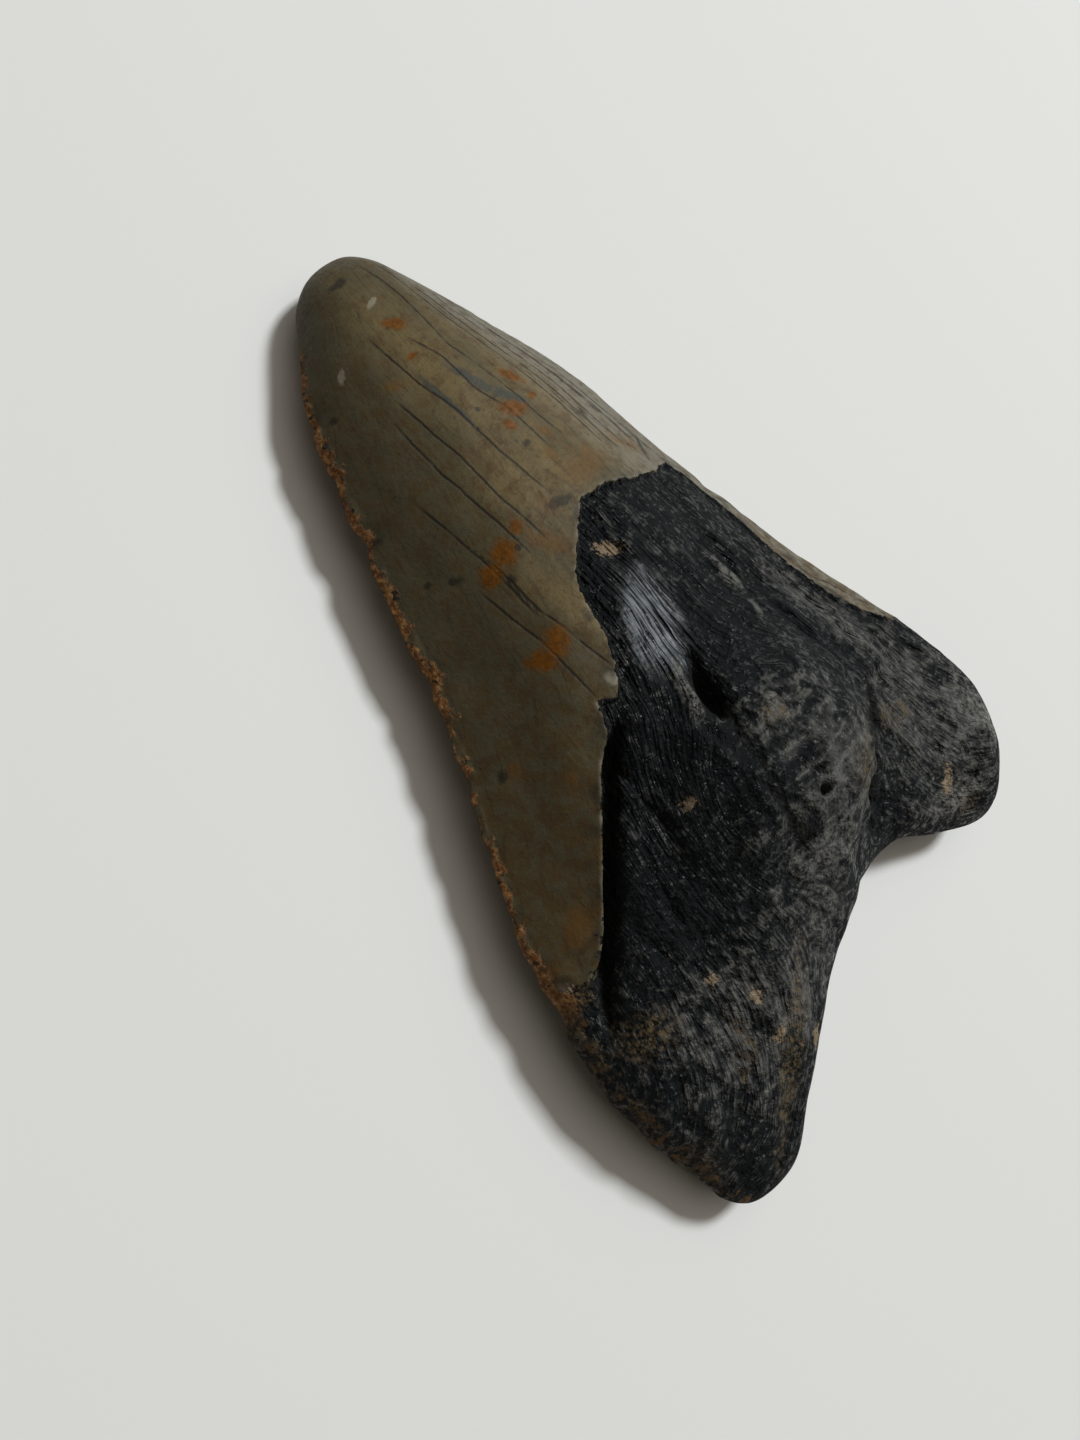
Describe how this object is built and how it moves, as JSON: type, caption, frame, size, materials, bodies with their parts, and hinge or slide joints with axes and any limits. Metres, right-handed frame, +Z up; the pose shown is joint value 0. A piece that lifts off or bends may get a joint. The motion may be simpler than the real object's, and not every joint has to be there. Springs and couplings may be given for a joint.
{
  "type": "megalodon tooth",
  "caption": "Fossil shark tooth: a tall tapering crown with worn cutting edges over a thick forked root, lying flat with its bulging side up.",
  "frame": {"origin": "centre of the tooth's bounding box on the surface it lies on", "axes": "+Y from the root to the tip, +Z up out of the bulging lingual face, +X to the right seen from above with the tip away from the viewer"},
  "size_m": [0.0871, 0.1405, 0.0283],
  "materials": {
    "tooth": "olive grey enamel with a soft gloss, orange stains and fine cracks, over a dark blue-grey fibrous root"
  },
  "bodies": {
    "root": {"tooth": "tooth"}
  },
  "joints": []
}
